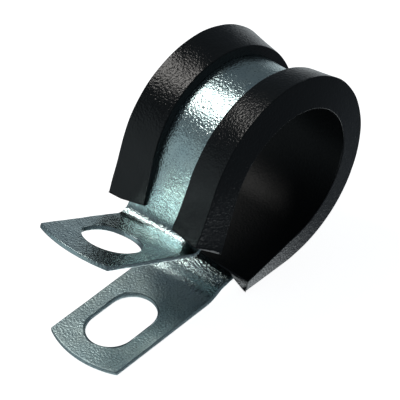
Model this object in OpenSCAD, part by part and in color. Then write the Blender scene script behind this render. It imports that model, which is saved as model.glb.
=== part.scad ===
// Rubber-lined P clip. Dimensions in millimetres.
// Frame: the origin is the centre of the bore the liner makes, +Y runs along that
// bore, +Z is up and the two fixing ears point towards -X.

/* [Strap] */
// Width of the steel strip
band_w = 15; // [14:0.5:20]
// Thickness of the steel strip
band_t = 0.8; // [0.6:0.1:1.2]

/* [Loop] */
// Radius of the bore that grips the pipe or cable
bore_r = 12.86; // [12:0.02:18]
// Slope of the lower run, where it leaves the loop, in degrees
lower_deg = 8.3; // [4:0.1:10]
// Slope of the upper run, where it leaves the loop, in degrees
upper_deg = 71; // [64:0.1:74]

/* [Lower ear] */
// Straight run of strip from the loop to the joggle
lower_run = 14.6; // [14:0.1:17]
// Mid-line radius of the joggle's first bend
joggle_r1 = 4.1; // [3:0.1:6]
// Mid-line radius of the joggle's second bend
joggle_r2 = 5.1; // [3:0.1:6]
// Slope of the joggle, in degrees
joggle_deg = 25.6; // [18:0.2:32]
// Straight length between the joggle's two bends
joggle_len = 0.8; // [0.2:0.1:2]
// Length of the flat ear, measured to the corners of its tip
lower_ear_len = 20.7; // [18:0.1:26]
// Width of the fixing slot
lower_slot_w = 8.5; // [5.5:0.1:9.5]
// End-to-end length of the fixing slot
lower_slot_len = 13; // [10:0.1:15]
// Distance from the tip's corners to the middle of the slot
lower_slot_at = 8.6; // [8:0.1:10]

/* [Upper ear] */
// Straight run of strip from the loop to the bend
upper_run = 8.8; // [8.8:0.1:14]
// Inside radius of the bend
upper_bend_r = 1.8; // [0.4:0.1:3]
// Slope of the ear, in degrees
upper_ear_deg = 29.5; // [10:0.1:40]
// Length of the ear, measured to the corners of its tip
upper_ear_len = 19.5; // [17:0.1:24]
// Width of the fixing hole
upper_hole_w = 9.1; // [5.5:0.1:9.5]
// End-to-end length of the fixing hole
upper_hole_len = 10.3; // [9.8:0.1:13]
// Distance from the tip's corners to the middle of the hole
upper_hole_at = 8.9; // [7.5:0.1:10]

/* [Ear tips] */
// Radius of the arc that ends each ear
tip_r = 17.4; // [12:0.1:40]

/* [Liner] */
// Thickness of rubber between the strip and the bore
liner_base = 1.57; // [1.2:0.01:2.5]
// Width of the liner at the bore
liner_w = 22.8; // [21:0.1:26]
// How far each side leans in from the bore to the outer edge
side_lean = 1.4; // [0:0.1:1.6]
// Width of each lip, measured from the bore's edge
lip_w = 7.3; // [6:0.1:8.5]
// Height of each lip's outer edge above the strip
lip_high = 2.9; // [2:0.1:4]
// Height of each lip's inner edge above the strip
lip_low = 1.6; // [1:0.1:2]
// Chamfer on the liner's long edges
liner_chamfer = 0.35; // [0.1:0.05:0.5]
// Clearance between the strip and the groove it sits in
groove_gap = 0.03; // [0.02:0.01:0.1]
// Length of liner on the lower run
liner_lower = 12.7; // [10:0.1:13]
// Length of liner on the upper run
liner_upper = 8.8; // [7:0.1:8.8]

/* [Hidden] */
$fn = 180;

mid_r = bore_r + liner_base + band_t / 2;     // strip's mid-line in the loop
a0 = lower_deg - 90;                          // loop's two tangent points
a1 = 90 + upper_deg;
sweep = a1 - a0;
p0 = [mid_r * cos(a0), mid_r * sin(a0)];
p1 = [mid_r * cos(a1), mid_r * sin(a1)];
h0 = 180 + lower_deg;                         // headings away from the loop
h1 = 180 + upper_deg;
// joggle, followed from the lower run to the flat ear
jp = [p0[0] + lower_run * cos(h0), p0[1] + lower_run * sin(h0)];
jc1 = [jp[0] - joggle_r1 * sin(h0), jp[1] + joggle_r1 * cos(h0)];
hj = 180 + joggle_deg;
jq = [jc1[0] + joggle_r1 * sin(hj), jc1[1] - joggle_r1 * cos(hj)];
jr = [jq[0] + joggle_len * cos(hj), jq[1] + joggle_len * sin(hj)];
jc2 = [jr[0] + joggle_r2 * sin(hj), jr[1] - joggle_r2 * cos(hj)];
ear0 = [jc2[0], jc2[1] - joggle_r2];
base_z = ear0[1] - band_t / 2;                // plane the clip stands on
// upper bend
up = [p1[0] + upper_run * cos(h1), p1[1] + upper_run * sin(h1)];
ub_r = upper_bend_r + band_t / 2;
uc = [up[0] + ub_r * sin(h1), up[1] - ub_r * cos(h1)];
hu = 180 - upper_ear_deg;
ear1 = [uc[0] - ub_r * sin(hu), uc[1] + ub_r * cos(hu)];
tip_bulge = tip_r - sqrt(tip_r * tip_r - band_w * band_w / 4);
lap = 0.05;
step = 0.005;

// side view drawn in X and Z, made solid along Y
module across(w) {
    rotate([90, 0, 0])
        linear_extrude(height = w, center = true)
            children();
}

// Neighbouring lengths of strip run a little way into each other. level keeps
// neighbours a few microns apart in thickness, so they join over a whole face.
function thick(level) = band_t - 2 * step * level;

// strip bent round c, from angle a to angle b (less than 180 degrees)
module bend(c, r, a, b, level) {
    far = 2 * (r + band_t);
    more = lap / r * 180 / PI;
    translate(c)
        intersection() {
            difference() {
                circle(r = r + thick(level) / 2);
                circle(r = r - thick(level) / 2);
            }
            polygon([
                [0, 0],
                [far * cos(a - more), far * sin(a - more)],
                [far * cos((a + b) / 2), far * sin((a + b) / 2)],
                [far * cos(b + more), far * sin(b + more)]
            ]);
        }
}

// straight strip from p, along heading h
module run(p, h, len, level) {
    translate(p)
        rotate(h)
            translate([-lap, -thick(level) / 2])
                square([len + 2 * lap, thick(level)]);
}

// slot along X, centred on the origin
module slot(len, w) {
    d = (len - w) / 2;
    translate([-d, 0]) circle(d = w);
    translate([d, 0]) circle(d = w);
    translate([-d, -w / 2]) square([2 * d, w]);
}

// flat ear from the origin towards +X, with an arc for a tip
module ear(len, hole_at, hole_len, hole_w) {
    translate([0, 0, -band_t / 2])
        linear_extrude(height = band_t)
            difference() {
                intersection() {
                    translate([0, -band_w / 2])
                        square([len + tip_bulge + 1, band_w]);
                    translate([len + tip_bulge - tip_r, 0])
                        circle(r = tip_r);
                }
                translate([len - hole_at, 0])
                    slot(hole_len, hole_w);
            }
}

module steel_strap() {
    color([0.62, 0.67, 0.68]) {
        across(band_w) {
            // loop
            difference() {
                circle(r = mid_r + band_t / 2);
                circle(r = mid_r - band_t / 2);
                polygon([
                    [0, 0],
                    [60 * cos(a1), 60 * sin(a1)],
                    [60 * cos((a0 + a1) / 2 + 180), 60 * sin((a0 + a1) / 2 + 180)],
                    [60 * cos(a0), 60 * sin(a0)]
                ]);
            }
            // lower run and joggle
            run(p0, h0, lower_run, 1);
            bend(jc1, joggle_r1, h0 - 90, hj - 90, 0);
            run(jq, hj, joggle_len, 1);
            bend(jc2, joggle_r2, 270, hj + 90, 2);
            // upper run and bend
            run(p1, h1, upper_run, 1);
            bend(uc, ub_r, hu - 270, h1 - 270, 2);
        }
        // lower ear
        translate([ear0[0], 0, ear0[1]])
            rotate([0, 0, 180])
                ear(lower_ear_len, lower_slot_at, lower_slot_len, lower_slot_w);
        // upper ear
        translate([ear1[0], 0, ear1[1]])
            rotate([0, upper_ear_deg, 0])
                rotate([0, 0, 180])
                    ear(upper_ear_len, upper_hole_at, upper_hole_len, upper_hole_w);
    }
}

// cross-section of the liner: X is the distance from the bore's axis, and the
// rubber is thinner by d on every side
module liner_section(d) {
    w = liner_w / 2 - d;
    e = liner_chamfer;
    b = bore_r + d;
    gi = mid_r - band_t / 2 - groove_gap - d;
    go = mid_r + band_t / 2 + groove_gap + d;
    gw = band_w / 2 + groove_gap + d;
    ro = mid_r + band_t / 2 + lip_high - d;
    ri = mid_r + band_t / 2 + lip_low - d;
    wl = liner_w / 2 - lip_w + d;
    polygon([
        [b, -(w - e)], [b, w - e], [b + e, w],
        [ro - e, w - side_lean], [ro, w - side_lean - e],
        [ri, wl + e], [ri - e, wl], [go, wl],
        [go, gw], [gi, gw], [gi, -gw], [go, -gw],
        [go, -wl], [ri - e, -wl], [ri, -(wl + e)],
        [ro, -(w - side_lean - e)], [ro - e, -(w - side_lean)],
        [b + e, -w]
    ]);
}

module rubber_liner() {
    color([0.07, 0.075, 0.08])
        difference() {
            rotate([90, 0, 0]) {
                rotate([0, 0, a0])
                    rotate_extrude(angle = sweep)
                        liner_section(0);
                // lower run
                rotate([0, 0, a0])
                    translate([0, lap, 0])
                        rotate([90, 0, 0])
                            linear_extrude(height = liner_lower + lap)
                                liner_section(step);
                // upper run
                rotate([0, 0, a1])
                    translate([0, -lap, 0])
                        rotate([90, 0, 0])
                            mirror([0, 0, 1])
                                linear_extrude(height = liner_upper + lap)
                                    liner_section(step);
            }
            // underside, level with the lower ear
            translate([-60, -40, base_z - 40])
                cube([120, 80, 40]);
        }
}

steel_strap();
rubber_liner();
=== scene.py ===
import bpy
import math
import numpy as np
from mathutils import Matrix, Vector


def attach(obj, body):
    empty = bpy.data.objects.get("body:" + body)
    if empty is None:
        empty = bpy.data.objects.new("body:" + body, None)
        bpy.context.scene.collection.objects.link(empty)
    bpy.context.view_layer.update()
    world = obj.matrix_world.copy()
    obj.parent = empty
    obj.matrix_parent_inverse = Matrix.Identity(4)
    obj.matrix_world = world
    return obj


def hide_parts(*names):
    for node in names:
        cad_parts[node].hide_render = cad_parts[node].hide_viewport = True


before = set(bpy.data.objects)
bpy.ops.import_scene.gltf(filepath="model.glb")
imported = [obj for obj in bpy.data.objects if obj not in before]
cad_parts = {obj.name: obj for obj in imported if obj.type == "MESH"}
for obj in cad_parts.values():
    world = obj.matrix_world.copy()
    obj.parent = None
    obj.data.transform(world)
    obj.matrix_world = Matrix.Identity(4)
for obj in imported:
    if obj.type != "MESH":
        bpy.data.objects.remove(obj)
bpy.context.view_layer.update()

MM = 0.001

# ---------------------------------------------------------------- dimensions
# the part's own dimensions, in mm, in the CAD frame: X and Z in the plane of
# the strip's side view, Y along the bore
BAND_W, BAND_T = 15.0, 0.8
BORE_R = 12.86
MID_R = 14.83
LOW, UP = 8.3, 71.0
LOWER_RUN, JR1, JR2, JDEG, JLEN = 14.6, 4.1, 5.1, 25.6, 0.8
LOWER_EAR, LSLOT_W, LSLOT_L, LSLOT_AT, LSLOT_OFF = 20.7, 8.5, 13.0, 8.76, 0.16
UPPER_RUN, UBEND_R, UEAR_DEG, UPPER_EAR = 8.8, 2.2, 29.5, 19.5
UHOLE_W, UHOLE_L, UHOLE_AT = 9.1, 10.3, 8.9
TIP_R = 17.4
LINER_LOWER, LINER_UPPER = 12.7, 9.4
BASE_Z = -18.388


def vec(deg):
    a = math.radians(deg)
    return np.array([math.cos(a), math.sin(a)])


class Path:
    """The strip's mid-line in the XZ plane, as straights and arcs, from the lower ear's tip."""

    def __init__(self, start, heading, segs):
        self.segs = []
        p, h, u = np.array(start, float), heading, 0.0
        for kind, a, b in segs:
            if kind == "line":
                self.segs.append(("line", u, u + a, p.copy(), h, 0.0, 0.0))
                p = p + a * vec(h)
                u += a
            else:  # arc of radius a turning b degrees, positive to the left
                s = 1.0 if b >= 0 else -1.0
                c = p + s * a * vec(h + 90)
                length = abs(math.radians(b)) * a
                self.segs.append(("arc", u, u + length, c, h, a, b))
                h += b
                p = c - s * a * vec(h + 90)
                u += length
        self.length = u

    def at(self, u):
        """position, heading in degrees"""
        for kind, u0, u1, p, h, r, b in self.segs:
            if u <= u1 + 1e-9:
                break
        if kind == "line":
            return p + (u - u0) * vec(h), h
        s = 1.0 if b >= 0 else -1.0
        h2 = h + b * (u - u0) / (u1 - u0)
        return p - s * r * vec(h2 + 90), h2


# start of the lower ear, found from the loop backwards
_h0 = 180 + LOW
_p0 = MID_R * vec(LOW - 90)
_jp = _p0 + LOWER_RUN * vec(_h0)
_c1 = _jp + JR1 * vec(_h0 + 90)
_jq = _c1 + JR1 * vec(180 + JDEG - 90)
_jr = _jq + JLEN * vec(180 + JDEG)
_c2 = _jr + JR2 * vec(180 + JDEG - 90)
_ear = _c2 + JR2 * vec(270)
_tip = _ear - np.array([LOWER_EAR, 0.0])
PATH = Path(_tip, 0.0, [
    ("line", LOWER_EAR, 0), ("arc", JR2, JDEG), ("line", JLEN, 0), ("arc", JR1, LOW - JDEG),
    ("line", LOWER_RUN, 0), ("arc", MID_R, 180 + UP - LOW), ("line", UPPER_RUN, 0),
    ("arc", UBEND_R, 180 - UEAR_DEG - (180 + UP)), ("line", UPPER_EAR, 0)])
U_LOOP0 = PATH.segs[5][1]
U_LOOP1 = PATH.segs[5][2]
U_END = PATH.length


def smooth(a, b, x):
    t = min(max((x - a) / (b - a), 0.0), 1.0)
    return t * t * (3 - 2 * t)


U_BEND0 = PATH.segs[7][1]
U_BEND1 = PATH.segs[7][2]
ASKEW = 0.86


def askew(u, y):
    """the upper bend was folded a little out of square: its front edge lies further from the ear's tip"""
    if u <= U_LOOP1:
        return np.zeros(2)
    w = min((u - U_LOOP1) / (U_BEND0 - U_LOOP1), 1.0) ** 1.3
    if u > U_BEND1:
        w = 1 - smooth(U_BEND1, U_BEND1 + 5.2, u)
    return ASKEW * max(min(y / 7.5, 1.0), -1.0) * w * vec(180 - UEAR_DEG)


def fold(u, y, h):
    """flat strip coordinates to space: h is measured towards the loop's outside"""
    p, a = PATH.at(u)
    n = vec(a - 90)
    q = p + h * n + askew(u, y)
    return np.array([q[0], y, q[1]])


# ---------------------------------------------------------------- mesh tools
def make_object(name, verts, faces, body="root", slot=None):
    me = bpy.data.meshes.new(name)
    me.from_pydata([tuple(float(c) * MM for c in v) for v in verts], [], [tuple(f) for f in faces])
    me.validate()
    me.update()
    for p in me.polygons:
        p.use_smooth = True
    o = bpy.data.objects.new(name, me)
    bpy.context.scene.collection.objects.link(o)
    return o


def outward(o):
    """turns every face outwards"""
    import bmesh
    bm = bmesh.new()
    bm.from_mesh(o.data)
    bmesh.ops.recalc_face_normals(bm, faces=bm.faces)
    if bm.calc_volume(signed=True) < 0:
        bmesh.ops.reverse_faces(bm, faces=bm.faces)
    bm.to_mesh(o.data)
    bm.free()


# ---------------------------------------------------------------- the strap
COLS = 26


def tip_u(y):
    """how far the arc of a tip stands beyond the tip's corners, at y"""
    return math.sqrt(TIP_R ** 2 - y * y) - math.sqrt(TIP_R ** 2 - BAND_W ** 2 / 4)


def corner_fillet(p, a, b, r, n):
    """n points rounding corner p between the directions towards a and b"""
    p, a, b = (np.array(v, float) for v in (p, a, b))
    da, db = (a - p) / np.linalg.norm(a - p), (b - p) / np.linalg.norm(b - p)
    half = math.acos(max(-1, min(1, float(da @ db)))) / 2
    d = r / math.tan(half)
    mid = (da + db) / np.linalg.norm(da + db)
    c = p + mid * r / math.sin(half)
    s, e = p + da * d - c, p + db * d - c
    a0, a1 = math.atan2(s[1], s[0]), math.atan2(e[1], e[0])
    while a1 - a0 > math.pi:
        a1 -= 2 * math.pi
    while a1 - a0 < -math.pi:
        a1 += 2 * math.pi
    return [c + r * np.array([math.cos(t), math.sin(t)]) for t in np.linspace(a0, a1, n)]


def ray_slot(c, d, length, width):
    """where a ray from the slot's centre leaves it; the slot lies along the first axis"""
    e, r = (length - width) / 2, width / 2
    if abs(d[1]) > 1e-9:
        t = r / abs(d[1])
        if abs(t * d[0]) <= e:
            return c + t * d
    cx = e * (1 if d[0] > 0 else -1)
    # |t d - (cx, 0)| = r
    bb = d[0] * cx
    t = bb + math.sqrt(max(bb * bb - (cx * cx - r * r), 0))
    return c + t * d


def ear_patch(seam_u, at, off, length, width, ys):
    """One ear, drawn with its tip's corners at 0 and its body at positive u. Gives points, faces, the
    indices of the seam from -y to +y, of the outer edge from the seam's +y end round to its -y end, and
    of the hole's rim."""
    h = BAND_W / 2
    outer = [np.array([seam_u, y]) for y in ys]
    side = list(np.linspace(seam_u, 0.9, 15)[1:])
    outer += [np.array([u, h]) for u in side]
    near = [np.array([-tip_u(y), y]) for y in np.linspace(h - 0.7, -(h - 0.7), 27)]
    outer += corner_fillet((0, h), (2, h), near[0], 0.35, 5)
    outer += near
    outer += corner_fillet((0, -h), near[-1], (2, -h), 0.35, 5)
    outer += [np.array([u, -h]) for u in reversed(side)]
    c = np.array([at, off])
    n = len(outer)
    pts, rings = [], []
    fr = [0, 0.03, 0.1, 0.22, 0.38, 0.56, 0.76, 0.93, 1.0]
    for f in fr:
        ring = []
        for p in outer:
            d = (p - c) / np.linalg.norm(p - c)
            q = ray_slot(c, d, length, width)
            ring.append(len(pts))
            pts.append(q + (p - q) * f)
        rings.append(ring)
    faces = []
    for a, b in zip(rings, rings[1:]):
        for i in range(n):
            j = (i + 1) % n
            faces.append((a[i], a[j], b[j], b[i]))
    m = len(ys)
    return pts, faces, rings[-1][:m], rings[-1][m - 1:] + [rings[-1][0]], rings[0]


def build_strap():
    h = BAND_W / 2
    ys = [-h] + [-h + 0.35] + list(np.linspace(-h + 0.9, h - 0.9, COLS - 3)) + [h - 0.35] + [h]
    flat, faces = [], []

    def add(points):
        base = len(flat)
        flat.extend(points)
        return base

    # lower ear, tip at u = 0
    seam_a = 17.4
    pts, fs, seam, edge, rim_a = ear_patch(seam_a, LSLOT_AT, LSLOT_OFF, LSLOT_L, LSLOT_W, ys)
    b = add(pts)
    faces += [tuple(i + b for i in f) for f in fs]
    row = [i + b for i in seam]
    outer_a = [i + b for i in edge]
    rim_a = [i + b for i in rim_a]
    # upper ear, mirrored end for end
    seam_b = 16.6
    pts, fs, seam, edge, rim_b = ear_patch(seam_b, UHOLE_AT, 0.0, UHOLE_L, UHOLE_W, ys)
    b = add([np.array([U_END - p[0], p[1]]) for p in pts])
    faces += [tuple(i + b for i in reversed(f)) for f in fs]
    last_row = [i + b for i in seam]
    outer_b = [i + b for i in edge]
    rim_b = [i + b for i in rim_b]
    # the strip between them
    us = [seam_a]
    for kind, u0, u1, p, hd, r, bend in PATH.segs:
        if u1 <= seam_a or u0 >= U_END - seam_b:
            continue
        lo, hi = max(u0, seam_a), min(u1, U_END - seam_b)
        if kind == "line":
            n = max(2, int(math.ceil((hi - lo) / 0.8)))
        elif r > 10:
            n = 116
        else:
            n = max(6, int(abs(bend) / 5))
        us += list(np.linspace(lo, hi, n + 1)[1:])
    left, right = [], []
    for u in us[1:-1]:
        b = add([np.array([u, y]) for y in ys])
        new = list(range(b, b + len(ys)))
        for i in range(len(ys) - 1):
            faces.append((row[i], row[i + 1], new[i + 1], new[i]))
        row = new
        left.append(row[0])
        right.append(row[-1])
    for i in range(len(ys) - 1):
        faces.append((row[i], row[i + 1], last_row[i + 1], last_row[i]))
    # outer loop: lower ear's edge from +y round to -y, then the -y side, the upper ear from -y to +y, the +y side
    loop = outer_a[:-1] + [outer_a[-1]] + left + list(reversed(outer_b)) + list(reversed(right))
    loops = [loop, rim_a, rim_b]
    flat = np.array(flat)

    # rounded sheared edges: inset and height from the sheet's middle
    def edge_profile(r_top, r_bot):
        out = []
        t = BAND_T / 2
        for k in range(0, 5):
            a = math.pi / 2 * k / 4
            out.append((r_top * (1 - math.sin(a)), -(t - r_top * (1 - math.cos(a)))))
        for k in range(4, -1, -1):
            a = math.pi / 2 * k / 4
            out.append((r_bot * (1 - math.sin(a)), t - r_bot * (1 - math.cos(a))))
        return out

    def normals(idx, hole):
        q = flat[idx]
        d = np.roll(q, -1, 0) - q
        d /= np.linalg.norm(d, axis=1)[:, None]
        tan = d + np.roll(d, 1, 0)
        tan /= np.linalg.norm(tan, axis=1)[:, None]
        n = np.stack([tan[:, 1], -tan[:, 0]], 1)
        area = 0.5 * float(np.sum(q[:, 0] * np.roll(q[:, 1], -1) - np.roll(q[:, 0], -1) * q[:, 1]))
        if area < 0:
            n = -n
        return -n if hole else n

    base_pts = flat.copy()
    rims = []
    for k, idx in enumerate(loops):
        n = normals(idx, k > 0)
        rims.append((idx, flat[idx].copy(), n))
    prof = edge_profile(0.2, 0.12)
    for idx, q, n in rims:
        base_pts[idx] = q - n * prof[0][0]
    under_pts = flat.copy()
    for idx, q, n in rims:
        under_pts[idx] = q - n * prof[-1][0]

    def wave(u, y, h):
        """a few hundredths of a millimetre of unevenness, as rolled and folded strip has"""
        w = 0.018 * math.sin(u * 0.61 + 0.4 * y) + 0.012 * math.sin(u * 1.37 - 0.55 * y + 1.1)
        w += 0.012 * math.sin(y * 0.8 + 0.23 * u)
        flat_under = (1 - smooth(LOWER_EAR - 1, LOWER_EAR + 3, u)) * (h / BAND_T + 0.5)
        return w * (1 - flat_under) * smooth(0, 3, u) * smooth(0, 3, U_END - u)

    verts, out = [], []
    count = len(flat)
    for p in base_pts:
        verts.append(fold(p[0], p[1], -BAND_T / 2 + wave(p[0], p[1], -BAND_T / 2)))
    for p in under_pts:
        verts.append(fold(p[0], p[1], BAND_T / 2 + wave(p[0], p[1], BAND_T / 2)))
    out += [f for f in faces]
    out += [tuple(i + count for i in reversed(f)) for f in faces]
    for idx, q, n in rims:
        prev = list(idx)
        for inset, hh in prof[1:-1]:
            cur = []
            for p, m in zip(q, n):
                r = p - m * inset
                cur.append(len(verts))
                verts.append(fold(r[0], r[1], hh + wave(r[0], r[1], hh)))
            for i in range(len(idx)):
                j = (i + 1) % len(idx)
                out.append((prev[i], prev[j], cur[j], cur[i]))
            prev = cur
        for i in range(len(idx)):
            j = (i + 1) % len(idx)
            out.append((prev[i], prev[j], idx[j] + count, idx[i] + count))
    o = make_object("zinc_strap", verts, out)
    outward(o)
    return o


# ---------------------------------------------------------------- the liner
LINER_U0 = U_LOOP0 - LINER_LOWER
LINER_U1 = U_LOOP1 + LINER_UPPER


def along(s, values):
    """smooth curve through evenly spaced values, s from 0 to 1"""
    n = len(values) - 1
    x = min(max(s, 0.0), 1.0) * n
    i = min(int(x), n - 1)
    t = x - i
    p0 = values[max(i - 1, 0)]
    p1, p2 = values[i], values[i + 1]
    p3 = values[min(i + 2, n)]
    return 0.5 * (2 * p1 + (p2 - p0) * t + (2 * p0 - 5 * p1 + 4 * p2 - p3) * t * t + (3 * p1 - p0 - 3 * p2 + p3) * t ** 3)


# how the extrusion varies from its lower end (0) to its upper end (1), in mm: the lips are
# a little wider and lower on the straight runs than round the loop, where they are stretched
FRONT_HIGH = [3.50, 3.45, 3.39, 3.31, 3.23, 3.18, 3.21, 3.30, 3.86]
BACK_HIGH = [3.91, 3.74, 3.56, 3.37, 3.17, 2.95, 2.71, 2.38, 2.32]
FRONT_OUT = [9.89, 10.14, 10.34, 10.39, 10.36, 10.24, 10.27, 10.28, 9.45]
BACK_OUT = [9.69, 9.78, 9.87, 9.98, 10.09, 10.22, 10.34, 10.44, 11.10]
FRONT_BORE = [11.39, 11.23, 11.12, 11.23, 11.37, 11.45, 11.39, 11.10, 10.50]
BACK_BORE = [11.40, 11.30, 11.20, 11.25, 11.40, 11.42, 11.40, 11.30, 11.25]
FRONT_LOW = [2.34, 2.36, 2.38, 2.40, 2.40, 2.38, 2.37, 2.41, 2.70]
BACK_LOW = [1.47, 1.59, 1.71, 1.85, 1.99, 2.17, 2.16, 1.73, 1.32]
FRONT_IN = [5.60, 5.60, 5.50, 5.40, 5.25, 5.00, 4.76, 4.39, 3.23]
BACK_IN = [2.11, 2.44, 2.78, 3.13, 3.49, 3.85, 4.04, 3.95, 4.21]


def liner_corners(s, room):
    """the section's corners as (n, y, radius): n is measured outwards from the strip's middle, and room is how
    far out the surface that the clip stands on lets the rubber go"""
    t = BAND_T / 2
    nb = BORE_R - MID_R
    g = 0.03

    def lim(n):
        return min(n, room)

    fo, bo = along(s, FRONT_HIGH), along(s, BACK_HIGH)
    fl, bl = along(s, FRONT_LOW), along(s, BACK_LOW)
    yf, yb = along(s, FRONT_OUT), along(s, BACK_OUT)
    y6f, y6b = along(s, FRONT_BORE), along(s, BACK_BORE)
    wf, wb = along(s, FRONT_IN), along(s, BACK_IN)
    lift = 1 - smooth(0.0, 0.07, s)     # the lips thin out towards their lower end
    fl = min(fl, room - 1.1 * lift)
    bl = min(bl, room - 0.6 * lift)
    return [
        (nb, -y6f, 0.13),
        (lim(fo), -yf, 0.14),
        (fl, -wf, 0.15),
        (t + g, -wf, 0.05),
        (t + g, -7.53, 0.04),
        (-t - g, -7.53, 0.04),
        (-t - g, 7.53, 0.04),
        (t + g, 7.53, 0.04),
        (t + g, wb, 0.05),
        (bl, wb, 0.15),
        (lim(bo), yb, 0.14),
        (nb, y6b, 0.13),
    ]


SIDES = [8, 8, 4, 3, 2, 8, 2, 3, 4, 8, 8, 22]   # divisions of the side that follows each corner


def section(corners, shrink=0.0):
    """rounded section: always the same number of points"""
    pts = [np.array(c[:2]) for c in corners]
    n = len(pts)
    if shrink:
        moved = []
        for i in range(n):
            a, b, c = pts[i - 1], pts[i], pts[(i + 1) % n]
            d1, d2 = (b - a) / np.linalg.norm(b - a), (c - b) / np.linalg.norm(c - b)
            n1, n2 = np.array([-d1[1], d1[0]]), np.array([-d2[1], d2[0]])
            m = n1 + n2
            m = m / (m @ n1)
            moved.append(b - m * shrink * SECTION_SIGN)
        pts = moved
    rounds = []
    for i in range(n):
        a, b, c = pts[i - 1], pts[i], pts[(i + 1) % n]
        rounds.append(corner_fillet(b, a, c, max(corners[i][2] - 0.6 * shrink, 0.03), 5))
    out, tags = [], []
    for i in range(n):
        nxt = rounds[(i + 1) % n]
        out += rounds[i]
        tags += [(i, 0.0)] * 5
        a, b = rounds[i][-1], nxt[0]
        length = np.linalg.norm(b - a)
        k = SIDES[i]
        e = min(0.12 / length, 0.3)
        fr = [e] + list(np.linspace(0, 1, k + 1)[1:-1]) + [1 - e]
        for f in fr:
            out.append(a + (b - a) * f)
            tags.append((i, f))
    return np.array(out), tags


SECTION_SIGN = 1.0

# the upper end was cut a little askew: how far each corner of it is cut back, in mm
UPPER_CUT = [-0.2, 1.5, 1.35, 1.0, 0.5, 0.3, 0.3, 0.6, 1.2, 1.4, 0.15, 0.0]
LOWER_CUT = [0.0, 0.18, 1.1, 1.1, 0.4, 0.0, 0.0, 0.3, 0.8, 0.8, 0.1, 0.0]


BORE_FACES = set()


def build_liner():
    total = LINER_U1 - LINER_U0
    us = list(np.linspace(LINER_U0, U_LOOP0, 17)) + list(np.linspace(U_LOOP0, U_LOOP1, 125)[1:]) \
        + list(np.linspace(U_LOOP1, LINER_U1, 15)[1:])
    rows = [(us[0], 0.10), (us[0] + 0.03, 0.03), (us[0] + 0.1, 0.0), (us[0] + 0.3, 0.0)] + [(u, 0.0) for u in us[1:-1]] \
        + [(us[-1] - 0.3, 0.0), (us[-1] - 0.1, 0.0), (us[-1] - 0.03, 0.03), (us[-1], 0.10)]
    verts, faces = [], []
    prev = None
    first = None
    for u, shrink in rows:
        s = (u - LINER_U0) / total
        p, a = PATH.at(u)
        n = vec(a - 90)
        room = (BASE_Z - p[1]) / n[1] if n[1] < -0.5 else 99.0
        room += shrink
        pts, tags = section(liner_corners(s, room), shrink)
        up = smooth(LINER_U1 - 4.0, LINER_U1, u)
        low = smooth(LINER_U0 + 4.0, LINER_U0, u) if u < LINER_U0 + 4.0 else 0.0
        low = 1 - smooth(LINER_U0, LINER_U0 + 4.0, u)
        ring = []
        for (nn, y), (i, f) in zip(pts, tags):
            j = (i + 1) % 12
            cut_u = UPPER_CUT[i] * (1 - f) + UPPER_CUT[j] * f
            cut_l = LOWER_CUT[i] * (1 - f) + LOWER_CUT[j] * f
            uu = u - cut_u * up + cut_l * low
            q, b = PATH.at(uu)
            m = vec(b - 90)
            # soft unevenness of the extrusion
            w = 0.03 * math.sin(u * 0.45 + 2.0 * (y > 0)) + 0.02 * math.sin(u * 1.13 + y)
            free = smooth(1.2, 2.4, nn) if room > 50 else 0.0
            r = q + (nn + w * free) * m
            if 3 <= i <= 7 or (i == 2 and f > 0) or (i == 8 and f < 1):
                g = f if i == 2 else 1 - f if i == 8 else 1.0
                r = r + askew(uu, y) * g
            ring.append(len(verts))
            verts.append(np.array([r[0], y, max(r[1], BASE_Z)]))
        if prev is None:
            first = ring
        else:
            k = len(ring)
            for i in range(k):
                j = (i + 1) % k
                if tags[i][0] == 11 and tags[j][0] == 11:
                    BORE_FACES.add(len(faces))
                faces.append((prev[i], prev[j], ring[j], ring[i]))
        prev = ring
    faces.append(tuple(reversed(first)))
    faces.append(tuple(prev))
    o = make_object("epdm_liner", verts, faces)
    outward(o)
    return o


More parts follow.
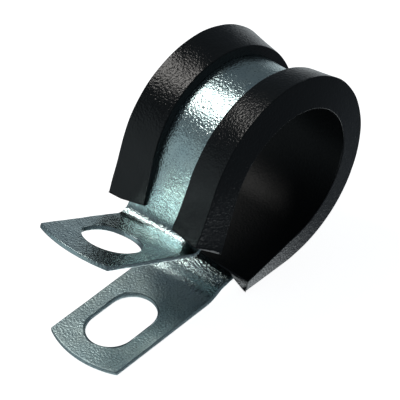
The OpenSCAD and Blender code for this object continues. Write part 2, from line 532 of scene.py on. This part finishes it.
# ---------------------------------------------------------------- materials
class Nodes:
    def __init__(self, name):
        self.mat = bpy.data.materials.new(name)
        self.mat.use_nodes = True
        self.t = self.mat.node_tree
        self.t.nodes.clear()
        self.out = self.add("ShaderNodeOutputMaterial")
        self.bsdf = self.add("ShaderNodeBsdfPrincipled")
        self.link(self.bsdf.outputs[0], self.out.inputs[0])
        self.coord = self.add("ShaderNodeTexCoord").outputs["Object"]

    def add(self, kind, **kw):
        n = self.t.nodes.new(kind)
        for k, v in kw.items():
            setattr(n, k, v)
        return n

    def link(self, a, b):
        self.t.links.new(a, b)

    def noise(self, scale, detail=2.0, rough=0.5, vector=None, distortion=0.0):
        n = self.add("ShaderNodeTexNoise")
        n.inputs["Scale"].default_value = scale
        n.inputs["Detail"].default_value = detail
        n.inputs["Roughness"].default_value = rough
        n.inputs["Distortion"].default_value = distortion
        self.link(vector or self.coord, n.inputs["Vector"])
        return n.outputs["Fac"]

    def ramp(self, fac, stops):
        r = self.add("ShaderNodeValToRGB")
        e = r.color_ramp.elements
        while len(e) > len(stops):
            e.remove(e[-1])
        while len(e) < len(stops):
            e.new(0.5)
        for el, (p, c) in zip(e, stops):
            el.position = p
            el.color = c if len(c) == 4 else (*c, 1)
        self.link(fac, r.inputs["Fac"])
        return r.outputs["Color"]

    def range(self, v, a, b, c, d):
        m = self.add("ShaderNodeMapRange")
        m.inputs["From Min"].default_value = a
        m.inputs["From Max"].default_value = b
        m.inputs["To Min"].default_value = c
        m.inputs["To Max"].default_value = d
        self.link(v, m.inputs["Value"])
        return m.outputs["Result"]

    def math(self, op, a, b=None):
        m = self.add("ShaderNodeMath", operation=op)
        for i, v in enumerate((a, b)):
            if v is None:
                continue
            if isinstance(v, (int, float)):
                m.inputs[i].default_value = v
            else:
                self.link(v, m.inputs[i])
        return m.outputs[0]

    def mix(self, fac, a, b, mode="MIX"):
        m = self.add("ShaderNodeMix", data_type="RGBA", blend_type=mode)
        for s, v in ((m.inputs["Factor"], fac), (m.inputs["A"], a), (m.inputs["B"], b)):
            pass
        ins = [i for i in m.inputs if i.enabled]
        for s, v in zip(ins, (fac, a, b)):
            if isinstance(v, (int, float)):
                s.default_value = v
            elif isinstance(v, tuple):
                s.default_value = (*v, 1)
            else:
                self.link(v, s)
        return [o for o in m.outputs if o.enabled][0]

    def bump(self, height, strength, distance, normal=None):
        b = self.add("ShaderNodeBump")
        b.inputs["Strength"].default_value = strength
        b.inputs["Distance"].default_value = distance
        self.link(height, b.inputs["Height"])
        if normal is not None:
            self.link(normal, b.inputs["Normal"])
        return b.outputs["Normal"]


# mask of the sharp convex edges, from pointiness: lightens the zinc's edges, and paints a highlight along the
# rubber's edges
def sharp_edge_mask(n, low=0.5, high=0.62):
    g = n.add("ShaderNodeNewGeometry")
    return n.range(g.outputs["Pointiness"], low, high, 0.0, 1.0)


def zinc():
    n = Nodes("zinc_plate")
    grit = n.noise(2500, 1.0, 0.5)        # plating grain, near half a millimetre
    fine = n.noise(4600, 1.0, 0.5)
    cloud = n.noise(170, 3.0, 0.55)
    patch = n.noise(430, 3.0, 0.6)
    speck = n.noise(3300, 2.0, 0.7)
    # the lower ear is duller and more grained than the rest, drawn as rougher only: 1 there, 0 elsewhere
    sep = n.add("ShaderNodeSeparateXYZ")
    n.link(n.coord, sep.inputs[0])
    dull = n.math("MULTIPLY", n.range(sep.outputs["Z"], -0.0135, -0.0155, 0.0, 1.0),
                  n.range(sep.outputs["X"], -0.0145, -0.0195, 0.0, 1.0))
    c = n.ramp(cloud, [(0.32, (0.54, 0.70, 0.72)), (0.52, (0.61, 0.76, 0.76)), (0.72, (0.66, 0.80, 0.77))])
    dark = n.ramp(speck, [(0.33, (0.40, 0.43, 0.44)), (0.45, (0.92, 0.92, 0.92)), (0.60, (1.0, 1.0, 1.0))])
    where = n.range(patch, 0.40, 0.62, 0.25, 0.95)
    c = n.mix(where, c, dark, "MULTIPLY")
    # base colour made lighter on the sharp edges
    zinc_edges = sharp_edge_mask(n)
    c = n.mix(n.math("MULTIPLY", zinc_edges, 0.4), c, (0.82, 0.86, 0.87))
    n.link(c, n.bsdf.inputs["Base Color"])
    n.bsdf.inputs["Metallic"].default_value = 1.0
    r = n.math("ADD", n.range(patch, 0.3, 0.7, 0.20, 0.28), n.math("MULTIPLY", dull, 0.20))
    n.link(r, n.bsdf.inputs["Roughness"])
    b = n.bump(grit, 0.9, 0.00010)
    b = n.bump(fine, 0.6, 0.00005, b)
    b = n.bump(cloud, 0.08, 0.0003, b)
    n.link(b, n.bsdf.inputs["Normal"])
    return n.mat


def rubber(name, low, high, grain, shine):
    """black rubber with a fine mould grain; low and high are its roughness"""
    n = Nodes(name)
    fine = n.noise(2700, 1.5, 0.55)
    cloud = n.noise(140, 3.0, 0.5)
    dust = n.noise(2600, 4.0, 0.7)
    c = n.ramp(cloud, [(0.3, (0.0030, 0.0044, 0.0048)), (0.7, (0.0044, 0.0056, 0.0060))])
    specks = n.ramp(dust, [(0.64, (0, 0, 0)), (0.76, (1, 1, 1))])
    c = n.mix(n.math("MULTIPLY", specks, 0.25), c, (0.024, 0.023, 0.019))
    # painted highlight: the base colour is lightened along the rubber's sharp edges, standing in for the thin
    # lines of light those edges catch
    edge_sheen = sharp_edge_mask(n, 0.53, 0.60)
    c = n.mix(n.math("MULTIPLY", edge_sheen, 0.8), c, (0.050, 0.054, 0.056))
    n.link(c, n.bsdf.inputs["Base Color"])
    n.bsdf.inputs["IOR"].default_value = 1.5
    n.bsdf.inputs["Specular IOR Level"].default_value = shine
    r = n.range(cloud, 0.3, 0.7, low, high)
    n.link(r, n.bsdf.inputs["Roughness"])
    b = n.bump(fine, grain, 0.00010)
    b = n.bump(cloud, 0.05, 0.0003, b)
    n.link(b, n.bsdf.inputs["Normal"])
    return n.mat


strap = build_strap()
liner = build_liner()
strap.data.materials.append(zinc())
liner.data.materials.append(rubber("epdm_rubber", 0.20, 0.25, 0.9, 0.5))
liner.data.materials.append(rubber("epdm_bore", 0.42, 0.50, 0.5, 0.22))
for face in liner.data.polygons:
    face.material_index = 1 if face.index in BORE_FACES else 0
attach(strap, "root")
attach(liner, "root")
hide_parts("steel_strap")
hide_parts("rubber_liner")

# ---------------------------------------------------------------- stage
floor_me = bpy.data.meshes.new("floor")
floor_me.from_pydata([(-3, -3, 0), (3, -3, 0), (3, 3, 0), (-3, 3, 0)], [], [(0, 1, 2, 3)])
floor = bpy.data.objects.new("floor", floor_me)
floor.location = (0, 0, BASE_Z * MM - 0.00006)
bpy.context.scene.collection.objects.link(floor)
fm = bpy.data.materials.new("floor_paint")
fm.use_nodes = True
fb = fm.node_tree.nodes["Principled BSDF"]
fb.inputs["Base Color"].default_value = (0.86, 0.86, 0.87, 1)
fb.inputs["Roughness"].default_value = 0.9
fb.inputs["Specular IOR Level"].default_value = 0.0
fb.inputs["Emission Color"].default_value = (1, 1, 1, 1)
fb.inputs["Emission Strength"].default_value = 0.93
floor.data.materials.append(fm)
floor.visible_glossy = False
floor.visible_diffuse = False

scene = bpy.context.scene
scene.view_settings.view_transform = "Standard"
scene.view_settings.look = "None"
scene.view_settings.exposure = 0.0

world = bpy.data.worlds.new("studio")
scene.world = world
world.use_nodes = True
wt = world.node_tree
wt.nodes.clear()
wo = wt.nodes.new("ShaderNodeOutputWorld")
wb = wt.nodes.new("ShaderNodeBackground")
wt.links.new(wb.outputs[0], wo.inputs[0])
wdir = wt.nodes.new("ShaderNodeTexCoord").outputs["Generated"]


def direction(az, el):
    a, e = math.radians(az), math.radians(el)
    return Vector((math.cos(a) * math.cos(e), math.sin(a) * math.cos(e), math.sin(e)))


def patch(az, el, inner, outer, color, strength):
    """a soft-edged round patch of light in that direction: full inside the inner angle, gone at the outer one"""
    dot = wt.nodes.new("ShaderNodeVectorMath")
    dot.operation = "DOT_PRODUCT"
    wt.links.new(wdir, dot.inputs[0])
    dot.inputs[1].default_value = direction(az, el)
    m = wt.nodes.new("ShaderNodeMapRange")
    m.interpolation_type = "SMOOTHSTEP"
    m.inputs["From Min"].default_value = math.cos(math.radians(outer))
    m.inputs["From Max"].default_value = math.cos(math.radians(inner))
    m.inputs["To Min"].default_value = 0.0
    m.inputs["To Max"].default_value = strength
    wt.links.new(dot.outputs["Value"], m.inputs["Value"])
    c = wt.nodes.new("ShaderNodeVectorMath")
    c.operation = "SCALE"
    c.inputs[0].default_value = color
    wt.links.new(m.outputs["Result"], c.inputs["Scale"])
    return c.outputs[0]


total = None
for args in (
    (0, 90, 0, 180, (0.9, 1.0, 1.0), 0.0),                # overhead
    (0, -90, 30, 36, (0.92, 0.98, 1.0), 1.0),             # the table right under the part
    (33, -32, 14, 30, (0.92, 0.98, 1.0), 0.55),           # the table behind it
    (150, -6, 18, 45, (0.85, 0.98, 1.0), 0.30),           # pale wall to the left
):
    out = patch(*args)
    if total is None:
        total = out
    else:
        add = wt.nodes.new("ShaderNodeVectorMath")
        add.operation = "ADD"
        wt.links.new(total, add.inputs[0])
        wt.links.new(out, add.inputs[1])
        total = add.outputs[0]
base = wt.nodes.new("ShaderNodeVectorMath")
base.operation = "ADD"
base.inputs[0].default_value = (0.085, 0.10, 0.115)
wt.links.new(total, base.inputs[1])
wt.links.new(base.outputs[0], wb.inputs["Color"])
wb.inputs["Strength"].default_value = 1.0


def area(name, az, el, dist, w, h, radiance, color=(1, 1, 1), roll=0.0):
    """a soft box in that direction from the part, seen at that radiance"""
    d = direction(az, el)
    li = bpy.data.lights.new(name, "AREA")
    li.shape = "RECTANGLE"
    li.size, li.size_y = w, h
    li.energy = radiance * math.pi * w * h
    li.color = color
    o = bpy.data.objects.new(name, li)
    q = d.to_track_quat("Z", "Y") @ Matrix.Rotation(math.radians(roll), 3, "Z").to_quaternion()
    o.matrix_world = Matrix.Translation(d * dist) @ q.to_matrix().to_4x4()
    scene.collection.objects.link(o)
    return o


area("key", 102, 61, 0.32, 0.13, 0.10, 6.5, (1.0, 0.97, 0.93))

# ---------------------------------------------------------------- camera
AZ, EL, ROLL = -44.5787, 42.5710, -2.8390
SHIFT_X, SHIFT_Y, DIST, FOCAL = 6.3363, 8.0485, 414.520, 2561.0
a, e, r = (math.radians(v) for v in (AZ, EL, ROLL))
right = Vector((math.cos(a), math.sin(a), 0))
back = Vector((math.sin(a) * math.cos(e), -math.cos(a) * math.cos(e), math.sin(e)))
upv = back.cross(right)
right, upv = math.cos(r) * right + math.sin(r) * upv, -math.sin(r) * right + math.cos(r) * upv
cam = bpy.data.cameras.new("camera")
cam.sensor_fit = "HORIZONTAL"
cam.sensor_width = 36.0
cam.lens = FOCAL * 36.0 / 400.0
cam.clip_start = 0.01
cam.clip_end = 20.0
co = bpy.data.objects.new("camera", cam)
scene.collection.objects.link(co)
loc = (right * -SHIFT_X + upv * -SHIFT_Y + back * DIST) * MM
co.matrix_world = Matrix(((right.x, upv.x, back.x, loc.x), (right.y, upv.y, back.y, loc.y), (right.z, upv.z, back.z, loc.z), (0, 0, 0, 1)))
scene.camera = co
